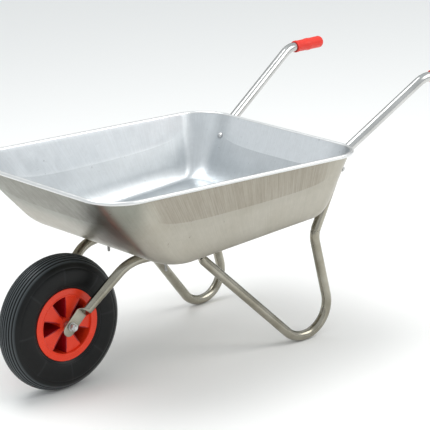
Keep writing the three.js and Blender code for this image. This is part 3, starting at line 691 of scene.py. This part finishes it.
# ---------- tray ----------
def tray_columns(corner_steps=18, edge_steps=30):
    """Stations round the tray, anticlockwise from above: (corner, turn, share of the edge after it)."""
    columns = []
    for corner in range(4):
        columns += [(corner, k / corner_steps, 0) for k in range(corner_steps + 1)]
        columns += [(corner, 1, k / edge_steps) for k in range(1, edge_steps)]
    return columns


def on_level(column, front_x, rear_x, half_width, radius):
    """Point and outward direction of a column on one rounded rectangle."""
    def corner_point(corner, turn):
        corners = ((front_x, 1, 1), (rear_x, -1, 1), (rear_x, -1, -1), (front_x, 1, -1))
        edge_x, side_x, side_y = corners[corner]
        angle = (corner + turn) * math.pi / 2
        outward = Vector((math.cos(angle), math.sin(angle), 0))
        centre = Vector((edge_x - side_x * radius, side_y * (half_width - radius), 0))
        return centre + outward * radius, outward

    corner, turn, share = column
    point, outward = corner_point(corner, turn)
    if share:
        point = point.lerp(corner_point((corner + 1) % 4, 0)[0], share)
    return point, outward


def wall_curve(t, reach):
    """Shares of a wall's run and of the tray's depth: t is -1 at the rim, 0 where the flat wall ends and
    1 at the floor.
    """
    if t <= 0:
        return STRAIGHT_WALL * (1 + t), STRAIGHT_WALL * (1 + t)
    top = Vector((STRAIGHT_WALL, STRAIGHT_WALL))
    corner = Vector((1, 1))
    foot = Vector((1 + reach, 1))
    a, b = top.lerp(corner, 0.6), foot.lerp(corner, 0.6)
    point = top * (1 - t) ** 3 + a * 3 * t * (1 - t) ** 2 + b * 3 * t**2 * (1 - t) + foot * t**3
    return point.x, point.y


def depth_z(x, drop):
    front = lerp(RIM_FRONT[1], FLOOR_FRONT_Z, drop)
    rear = lerp(RIM_REAR[1], FLOOR_REAR_Z, drop)
    return lerp(rear, front, (x - RIM_REAR[0]) / (RIM_FRONT[0] - RIM_REAR[0]))


def crease_depth(column):
    """Where the flat panel of a wall ends, as a share of the straight wall, and how strong its edge is.

    The panel's lower edge runs level along the wall and curves up towards the corners.
    """
    corner, turn, share = column
    if not share:
        return PANEL_CORNER, 0
    away = abs(2 * share - 1)
    fade = 1 - smoothstep(away, 0.8, 1)
    return lerp(PANEL_CORNER, PANEL_DEPTH, (1 - away**PANEL_ROUNDNESS) ** (1 / PANEL_ROUNDNESS)), fade


def tray_outside(columns):
    """Rings of the tray's outer face, from the rim down to the floor's edge."""
    wall_top = BEAD_RADIUS - SHEET
    rings = []
    for i in range(PANEL_RINGS + LOWER_RINGS + CURVE_RINGS + 1):
        ring = []
        for column in columns:
            crease, strength = crease_depth(column)
            if i <= PANEL_RINGS:
                share = crease * i / PANEL_RINGS
                lift = i / PANEL_RINGS
            else:
                passed = min(max((i - PANEL_RINGS - 1) / (LOWER_RINGS - 1), 0.025), 1)
                share = lerp(crease, 1, passed)
                lift = 1 - passed
            t = share - 1 if i <= PANEL_RINGS + LOWER_RINGS else (i - PANEL_RINGS - LOWER_RINGS) / CURVE_RINGS
            (front, _), (rear, _), (side, drop) = (
                wall_curve(t, FILLET_REACH[wall]) for wall in ("front", "rear", "side")
            )
            point, outward = on_level(
                column,
                lerp(RIM_FRONT[0] - wall_top, FLOOR_FRONT_X, front),
                lerp(RIM_REAR[0] + wall_top, FLOOR_REAR_X, rear),
                lerp(TRAY_HALF_WIDTH - wall_top, FLOOR_HALF_WIDTH, side),
                lerp(TRAY_CORNER_RADIUS - wall_top, FLOOR_CORNER_RADIUS, drop),
            )
            point.z = depth_z(point.x, drop)
            sway = SHEET_SWAY * noise.noise(point * 0.006) * math.sin(math.pi * (t + 1) / 2)
            ring.append(point + outward * (sway + PANEL_EDGE * strength * lift))
        rings.append(ring)
    return rings


def tray():
    columns = tray_columns()
    outside = tray_outside(columns)
    wall_rings = len(outside)
    edge = outside[-1]
    centre = sum(edge, Vector()) / len(edge)
    for share in FLOOR_SHARES:
        outside.append([centre.lerp(point, share) for point in edge])
    count = len(columns)
    inside = []
    for i, ring in enumerate(outside):
        over, under = outside[max(i - 1, 0)], outside[min(i + 1, len(outside) - 1)]
        offset = []
        for j, point in enumerate(ring):
            if i >= wall_rings - 1:
                inward = FLOOR_NORMAL.copy()
            else:
                inward = (ring[(j + 1) % count] - ring[j - 1]).cross(under[j] - over[j]).normalized()
            if i == 0:
                inward = Vector((inward.x, inward.y, 0)).normalized()
            offset.append(point + inward * SHEET)
        inside.append(offset)
    rim = [
        on_level(column, RIM_FRONT[0], RIM_REAR[0], TRAY_HALF_WIDTH, TRAY_CORNER_RADIUS) for column in columns
    ]

    def bead(radius, angle):
        return [
            Vector((p.x, p.y, depth_z(p.x, 0))) + o * radius * math.cos(angle) + UP * radius * math.sin(angle)
            for p, o in rim
        ]

    curl = [math.pi * (0.8 - 1.55 * k / 20) for k in range(21)]
    rings = [
        *reversed(inside),
        *(bead(BEAD_RADIUS, angle) for angle in curl),
        *(bead(BEAD_RADIUS - SHEET, angle) for angle in reversed(curl)),
        *outside,
    ]
    vertices = [vertex for ring in rings for vertex in ring]
    faces = loft_faces(len(rings), count, False)
    last = (len(rings) - 1) * count
    faces += [tuple(range(count - 1, -1, -1)), tuple(range(last, last + count))]
    piece = shell("tray_shell", vertices, faces, SHEET_STEEL, sharp=60)
    # how far each ring belongs to a drawn panel, outside or inside, and to the rolled rim
    strengths = [crease_depth(column)[1] for column in columns]
    panel = [[strength if i <= PANEL_RINGS else 0 for strength in strengths] for i in range(len(outside))]
    none, every = [[0] * count], [[1] * count]
    bands = [
        PANEL_RINGS < i and 1 - smoothstep(i, PANEL_RINGS + 2, PANEL_RINGS + 5) for i in range(len(outside))
    ]
    rim_rings = none * (2 * len(curl))
    marks = {
        "panel_outside": none * len(outside) + rim_rings + panel,
        "panel_inside": panel[::-1] + rim_rings + none * len(outside),
        "rolled_rim": none * len(outside) + every * len(curl) + none * (len(curl) + len(outside)),
        # the inside of the sheet, for its lighter painted tone
        "inner_face": every * len(outside) + none * (2 * len(curl) + len(outside)),
        # painted shade in the band just under the outer panel's lower edge, at the crease
        "crease_shade": none * len(outside) + rim_rings + [
            [strength * band for strength in strengths] for band in bands
        ],
        # painted shade on the outside towards the front
        "front_shade": none * len(outside) + rim_rings + [
            [smoothstep(point.x, *FRONT_SHADE_X) for point in ring] for ring in outside
        ],
    }
    for name, values in marks.items():
        mark(piece, name, [value for ring in values for value in ring])
    # the point on the rim each place was drawn down from, with its own height
    middle = sum((point for point, _ in rim), Vector()) / count
    down = [[point for point, _ in rim]] * wall_rings
    down += [[middle.lerp(point, share) for point, _ in rim] for share in FLOOR_SHARES]
    drawn = [*reversed(down), *([down[0]] * (2 * len(curl))), *down]
    attribute = piece.data.attributes.new("drawn_from", "FLOAT_VECTOR", "POINT")
    attribute.data.foreach_set("vector", [
        value / 1000
        for tops, ring in zip(drawn, rings)
        for top, point in zip(tops, ring)
        for value in (top.x, top.y, point.z)
    ])
    return stand_for(piece, "tray", "frame")


# ---------- bolts ----------
def rear_bolt():
    rim = Vector((RIM_REAR[0] + BEAD_RADIUS - SHEET, RIM_REAR[1]))
    corner = Vector((FLOOR_REAR_X, floor_z(FLOOR_REAR_X)))
    wall = (rim - corner).normalized()
    towards = Vector((-wall.y, 0, wall.x))
    on_wall = corner.lerp(rim, (REAR_BOLT_Z - corner.y) / (rim.y - corner.y))
    y = lerp(HIP.y, SHOULDER.y, (REAR_BOLT_Z - HIP.z) / (SHOULDER.z - HIP.z))
    return Vector((on_wall.x, y, on_wall.y)) - towards * (SHEET + REAR_BOLT_STANDOFF), towards


def bolts():
    """The three bolts of one side: name, start, direction, clamped stack and length."""
    def on_floor(x):
        return Vector((x, fork_y(x), floor_z(x))) + FLOOR_NORMAL * SHEET

    tube = SHEET + GAP + 2 * TUBE_RADIUS + 2 * GAP
    tab = GAP + 2 * PRESSED_HALF_THICKNESS + 2 * GAP
    start, towards = rear_bolt()
    return [
        ("front_tray", on_floor(FRONT_BOLT_X), -FLOOR_NORMAL, tube, FRONT_BOLT_LENGTH),
        ("leg_joint", on_floor(LEG_TAB_X), -FLOOR_NORMAL, tube + tab, LEG_JOINT_BOLT_LENGTH),
        ("rear_tray", start, towards, tube + REAR_BOLT_SLACK, REAR_BOLT_LENGTH),
    ]


def bolt_set(name, side, origin, towards, clamped, length):
    matrix = mirror(side) @ along(towards, origin)
    top = -GAP - BOLT_HEAD_HEIGHT
    rise = (BOLT_HEAD_HEIGHT - 0.6) / (1 - math.cos(HEAD_ARC))
    crown = [
        (BOLT_HEAD_RADIUS * math.sin(angle), top + rise * (1 - math.cos(angle)))
        for angle in [HEAD_ARC * k / 10 for k in range(1, 11)]
    ]
    shank = threaded(BOLT_RADIUS, clamped * 0.6, length - 1, BOLT_PITCH)
    outline = [
        (0.2, top), *crown, (BOLT_HEAD_RADIUS, -GAP - 0.25), (BOLT_HEAD_RADIUS - 0.25, -GAP),
        (BOLT_RADIUS, -GAP), *shank, (BOLT_RADIUS - 1, length), (0.2, length),
    ]
    piece = lathe(f"{name}_bolt_body_{side}", outline, ZINC, matrix, 32, closed=False)
    stand_for(piece, f"{name}_bolt_{side}", "frame")
    bore = BOLT_RADIUS + GAP
    low = clamped + GAP
    high = low + WASHER_THICKNESS
    outline = rounded(
        [(bore, low, 0.2), (WASHER_RADIUS, low, 0.25), (WASHER_RADIUS, high, 0.45), (bore, high, 0.3)], True
    )
    piece = lathe(f"{name}_washer_body_{side}", outline, ZINC, matrix, 40)
    stand_for(piece, f"{name}_washer_{side}", "frame")
    seat = matrix @ Matrix.Translation((0, high + GAP, 0))
    piece = hexagon_nut(f"{name}_nut_body_{side}", NUT_FLATS, bore, NUT_HEIGHT, ZINC, seat)
    stand_for(piece, f"{name}_nut_{side}", "frame")


# ---------- wheel ----------
def at_axle(offset=(0, 0, 0)):
    return Matrix.Translation((offset[0], offset[1], TYRE_RADIUS + offset[2]))


def crown_radius(y):
    """The tyre's outer radius at a distance from its middle plane, over the tread."""
    return TYRE_RADIUS - CROWN_CURVE * y * y


def tyre():
    """Ribbed tyre: raised ribs between V grooves over the crown, moulded rings on the sidewalls."""
    side = [
        (93.5, 24), (93.5, 34.8), (97.5, 35.0), (100.5, 37.2), (103.5, 39.6), (107, 41.0), (107.8, 40.5),
        (108.6, 41.2), (113, 42.6), (120, 43.9), (130, 44.75), (140, 44.7), (147, 43.9), (153, 42.6),
        (153.8, 41.7), (154.6, 42.0), (159, 40.4), (163, 38.4), (166, 36.4),
    ]
    crown = []
    grooves = [GROOVE_PITCH * (k + 0.5) for k in reversed(range(GROOVES_EACH_SIDE))]
    for groove in grooves:
        for offset, depth in (*GROOVE_SIDE, *((-offset, depth) for offset, depth in reversed(GROOVE_SIDE))):
            y = groove + offset
            crown.append((crown_radius(y) - depth, y))
    half = side + crown
    outer = half + [(r, -y) for r, y in reversed(half)]
    inner = [(106, 33.4), (118, 38.2), (138, 39.6), (158, 33.6), (171, 21.8), (176.2, 5)]
    bore = [(r, -y) for r, y in inner] + list(reversed(inner))
    section = outer + bore
    segments = 192
    piece = lathe("tyre_body", section, RUBBER, at_axle(), segments, sharp=45)
    # the rib tops, for their painted highlight
    mark(piece, "rib_top_highlight", [
        radius > crown_radius(y) - RIB_TOP_DEPTH for radius, y in section for _ in range(segments)
    ])
    low, high = MOULD_LINE_REACH
    mark(piece, "mould_line", [
        low < radius < high and k % MOULD_LINE_EVERY == 0 for radius, _ in section for k in range(segments)
    ])
    return stand_for(piece, "tyre", "wheel")


def rim_section():
    """Half of the barrel's section: flange with a rolled edge, bead seat and drop centre."""
    face = RIM_HALF_WIDTH
    corners = [
        (RIM_BORE_RADIUS, 0, 0), (RIM_BORE_RADIUS, face - 1.5, 1.0), (RIM_BORE_RADIUS + 1.4, face, 0.6),
        (RIM_BORE_RADIUS + 3.2, face, 0.8), (RIM_BORE_RADIUS + 4.4, face - LIP_HEIGHT, 0.8),
        (FLANGE_RADIUS - 0.6, face - LIP_HEIGHT, 2.2), (FLANGE_RADIUS - 0.2, face - 4.0, 1.0),
        (93.1, face - 4.0, 0.6), (92.2, 20, 2), (86, 13, 3), (86, 0, 0),
    ]
    return rounded(corners, False)


def web_rings(face, inner, outer):
    """Heights of a slightly dished panel from the hub outwards, as (radius, height)."""
    steps = 10
    rings = []
    for k in range(steps + 1):
        radius = lerp(inner, outer, k / steps)
        rings.append((radius, face - WEB_DISH * math.sin(math.pi * k / steps)))
    return rings


def sector(start, end, heights, sign):
    """Vertices and faces of a panel between two angles, its visible face following heights."""
    across = 14
    vertices, faces = [], []
    for level in (0, WEB_THICKNESS):
        for radius, height in heights:
            for k in range(across + 1):
                angle = lerp(start, end, k / across)
                vertices.append((radius * math.cos(angle), sign * (height - level), radius * math.sin(angle)))
    row = across + 1
    rows = len(heights)
    shift = row * rows
    for i in range(rows - 1):
        for k in range(across):
            a = i * row + k
            top = (a, a + 1, a + row + 1, a + row)
            faces.append(top if sign < 0 else tuple(reversed(top)))
            low = tuple(v + shift for v in top)
            faces.append(tuple(reversed(low)) if sign < 0 else low)
    for k in range(across):
        for i in (0, rows - 1):
            a = i * row + k
            faces.append((a, a + 1, a + 1 + shift, a + shift))
    for i in range(rows - 1):
        for k in (0, across):
            a = i * row + k
            faces.append((a, a + row, a + row + shift, a + shift))
    return vertices, faces


def rim():
    half = rim_section()
    outline = [(p.x, p.y) for p in half] + [(p.x, -p.y) for p in reversed(half)]
    outline = [p for p, q in zip(outline, [outline[-1], *outline]) if (Vector(p) - Vector(q)).length > 1e-4]
    vertices, faces, pocket_shade = [], [], []

    def add(more_vertices, more_faces, deep=0):
        shift = len(vertices)
        pocket_shade.extend([deep] * len(more_vertices))
        vertices.extend(more_vertices)
        faces.extend(tuple(v + shift for v in face) for face in more_faces)

    def turned(points, segments):
        ring = [
            (r * math.cos(2 * math.pi * k / segments), y, -r * math.sin(2 * math.pi * k / segments))
            for r, y in points
            for k in range(segments)
        ]
        add(ring, loft_faces(len(points), segments, True))

    turned(outline, 144)
    face = WEB_OUTER_FACE
    hub = rounded([
        (HUB_BORE_RADIUS, -face, 0.6), (HUB_RADIUS, -face, 1.2), (HUB_RADIUS, face, 1.2),
        (HUB_BORE_RADIUS, face, 0.6),
    ], True)
    turned([(p.x, p.y) for p in hub], 72)
    inner, outer = HUB_RADIUS - 1.5, RIM_BORE_RADIUS + 1
    pitch = 2 * math.pi / SPOKE_SECTORS
    heights = web_rings(face - WEB_SETBACK, inner, outer)
    for k in range(SPOKE_SECTORS):
        start = WINDOW_START + k * pitch - WINDOW_ANGLE / 2
        end = start + WINDOW_ANGLE
        add(*sector(start, end, heights, -1))
        add(*sector(end, start + pitch, heights, 1))
        for angle in (start, end):
            side = Vector((-math.sin(angle), 0, math.cos(angle))) * WEB_THICKNESS / 2
            out = Vector((math.cos(angle), 0, math.sin(angle)))
            corners = []
            for radius in (inner, outer):
                for height in (-(face - 0.9), face - 0.9):
                    for sign in (-1, 1):
                        corners.append(tuple(out * radius + side * sign + Vector((0, height, 0))))
            sides = [(0, 1, 3, 2), (4, 6, 7, 5), (0, 4, 5, 1), (2, 3, 7, 6), (0, 2, 6, 4), (1, 5, 7, 3)]
            # the window side walls carry painted shade
            add(corners, sides, 1)
    piece = shell("rim_body", vertices, faces, RED_RIM, at_axle(), sharp=35)
    mark(piece, "pocket_shade", pocket_shade)
    return stand_for(piece, "rim", "wheel")


def hub_bush(side):
    bore, flange = AXLE_RADIUS + 0.35, HUB_RADIUS - 2
    face, end = WEB_OUTER_FACE + GAP, WEB_OUTER_FACE - BUSH_LENGTH
    body = HUB_BORE_RADIUS - GAP
    outline = rounded([
        (bore, end, 0.5), (body, end, 0.8), (body, face, 0.2), (flange, face, 0.4),
        (flange, face + BUSH_FLANGE, 0.8), (bore, face + BUSH_FLANGE, 0.5),
    ], True)
    piece = lathe(f"bush_{side}", outline, RED_RIM, at_axle() @ mirror(side), 56)
    return stand_for(piece, f"hub_bush_{side}", "wheel")


def axle():
    end = AXLE_HALF_LENGTH
    thread = threaded(AXLE_RADIUS, PLATE_Y - 8, end - 1, AXLE_PITCH)
    half = [*thread, (AXLE_RADIUS - 1, end), (0.3, end)]
    outline = [(r, -y) for r, y in reversed(half)] + half
    piece = lathe("axle_body", outline, ZINC, at_axle(), 40, closed=False)
    stand_for(piece, "axle_stud", "frame")


def axle_fittings(side):
    bore = AXLE_RADIUS + GAP
    low, high = PLATE_Y - PRESSED_HALF_THICKNESS - GAP, PLATE_Y + PRESSED_HALF_THICKNESS + GAP
    start = WEB_OUTER_FACE + BUSH_FLANGE + 3 * GAP
    matrix = mirror(side) @ at_axle()
    outer = SPACER_RADIUS
    outline = rounded([(bore, start, 0.3), (outer, start, 0.6), (outer, low, 0.6), (bore, low, 0.3)], True)
    spacer = lathe(f"spacer_{side}", outline, ZINC, matrix, 48)
    stand_for(spacer, f"axle_spacer_{side}", "frame")
    top = high + AXLE_WASHER_THICKNESS
    outer = AXLE_WASHER_RADIUS
    outline = rounded([(bore, high, 0.3), (outer, high, 0.4), (outer, top, 0.6), (bore, top, 0.4)], True)
    washer = lathe(f"washer_{side}", outline, ZINC, matrix, 56)
    stand_for(washer, f"axle_washer_{side}", "frame")
    seat = matrix @ Matrix.Translation((0, top + GAP, 0))
    nut = hexagon_nut(f"nut_{side}", AXLE_NUT_FLATS, bore, AXLE_NUT_HEIGHT, ZINC, seat)
    stand_for(nut, f"axle_nut_{side}", "frame")


def grip(side):
    """Push-on vinyl grip: a collar at the mouth, a swelling in the middle and a domed, flat-ended tip."""
    bore = TUBE_RADIUS + GAP
    end = GAP + 3.5
    mouth = end - GRIP_LENGTH
    swell = mouth + 0.48 * GRIP_LENGTH
    corners = [
        (0.3, GAP, 0), (bore, GAP, 0.8), (bore, mouth, 0.4), (GRIP_RADIUS - 0.4, mouth, 1.2),
        (GRIP_RADIUS, mouth + 3, 1.5), (GRIP_RADIUS, mouth + 9, 1.0), (GRIP_RADIUS - 0.9, mouth + 11, 1.0),
        (GRIP_RADIUS - 0.8, swell - 14, 20), (GRIP_RADIUS + 0.8, swell, 30),
        (GRIP_RADIUS - 0.6, swell + 14, 20),
        (GRIP_RADIUS - 0.1, end - 6, 5), (GRIP_RADIUS - 3.5, end, 3.4), (0.3, end, 0),
    ]
    outline = rounded(corners, False)
    backwards = (GRIP_END - HANDLE_BEND).normalized()
    matrix = mirror(side) @ along(backwards, GRIP_END)
    piece = lathe(f"grip_body_{side}", outline, RED_GRIP, matrix, 64, closed=False)
    return stand_for(piece, f"grip_{side}", "frame")


tray()
axle()
tyre()
rim()
for side in SIDES:
    fork_tube(side)
    side_tube(side)
    grip(side)
    hub_bush(side)
    axle_fittings(side)
    for name, origin, towards, clamped, length in bolts():
        bolt_set(name, side, origin, towards, clamped, length)
for node in ("inner_tube", "valve_stem", "valve_cap"):
    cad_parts[node].data.materials.clear()
    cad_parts[node].data.materials.append(RUBBER)


# ---------- stage ----------
bpy.context.scene.view_settings.view_transform = "Standard"


def studio():
    floor_mesh = bpy.data.meshes.new("floor")
    half = 30
    corners = [(-half, -half, 0), (half, -half, 0), (half, half, 0), (-half, half, 0)]
    floor_mesh.from_pydata(corners, [], [(0, 1, 2, 3)])
    material, nodes, links, shader = new_material("floor")
    shader.inputs["Base Color"].default_value = (0.94, 0.935, 0.92, 1)
    shader.inputs["Roughness"].default_value = 0.85
    shader.inputs["Specular IOR Level"].default_value = 0.2
    floor_mesh.materials.append(material)
    floor = bpy.data.objects.new("floor", floor_mesh)
    bpy.context.collection.objects.link(floor)

    world = bpy.data.worlds.new("studio")
    bpy.context.scene.world = world
    world.use_nodes = True
    background = world.node_tree.nodes["Background"]
    background.inputs["Strength"].default_value = 0.8
    nodes, links = world.node_tree.nodes, world.node_tree.links
    coordinates = nodes.new("ShaderNodeTexCoord")
    height = nodes.new("ShaderNodeSeparateXYZ")
    links.new(coordinates.outputs["Generated"], height.inputs[0])
    sky = ramp(nodes, links, height.outputs["Z"], [
        (0.0, (0.82, 0.85, 0.89)), (0.1, (0.88, 0.91, 0.95)), (0.3, (0.95, 0.98, 1)), (1.0, (0.92, 0.97, 1)),
    ])
    # the world is darker low down behind the barrow, for the metal to reflect
    behind = nodes.new("ShaderNodeVectorMath")
    behind.operation = "DOT_PRODUCT"
    behind.inputs[1].default_value = (-0.57, -0.82, 0)
    links.new(coordinates.outputs["Generated"], behind.inputs[0])
    flag = ramp(nodes, links, behind.outputs["Value"], [(0.4, (1, 1, 1)), (0.8, (0.2, 0.2, 0.18))])
    low = ramp(nodes, links, height.outputs["Z"], [(0.2, (1, 1, 1)), (0.5, (0, 0, 0))])
    links.new(mix(nodes, links, "MULTIPLY", low, sky, flag), background.inputs["Color"])

    def area(name, position, target, size, power, colour=(1, 1, 1)):
        light = bpy.data.lights.new(name, "AREA")
        light.size = size
        light.energy = power
        light.color = colour
        lamp = bpy.data.objects.new(name, light)
        lamp.location = position
        lamp.rotation_euler = (Vector(target) - Vector(position)).to_track_quat("-Z", "Y").to_euler()
        bpy.context.collection.objects.link(lamp)

    area("overhead", (0.6, -0.6, 3.2), (0, 0, 0.3), 2, 55)
    area("key", (-2.4, 2.6, 3.0), (0, 0, 0.4), 2.6, 65, (1, 0.98, 0.95))


def camera():
    """The camera, worked out in millimetres from the axle's end of the frame."""
    yaw, pitch, roll = math.radians(230.812), math.radians(-17.736), math.radians(-3.263)
    forward = Vector((math.cos(pitch) * math.cos(yaw), math.cos(pitch) * math.sin(yaw), math.sin(pitch)))
    right = forward.cross(UP).normalized()
    above = right.cross(forward)
    x_axis = right * math.cos(roll) + above * math.sin(roll)
    y_axis = above * math.cos(roll) - right * math.sin(roll)
    data = bpy.data.cameras.new("camera")
    data.sensor_width = 36
    data.lens = 191.8
    data.clip_end = 200
    item = bpy.data.objects.new("camera", data)
    rotation = Matrix((x_axis, y_axis, -forward)).transposed().to_4x4()
    item.matrix_world = Matrix.Translation((3.2567 + AXLE[0], 4.6712, 2.2713)) @ rotation
    bpy.context.collection.objects.link(item)
    bpy.context.scene.camera = item


studio()
camera()
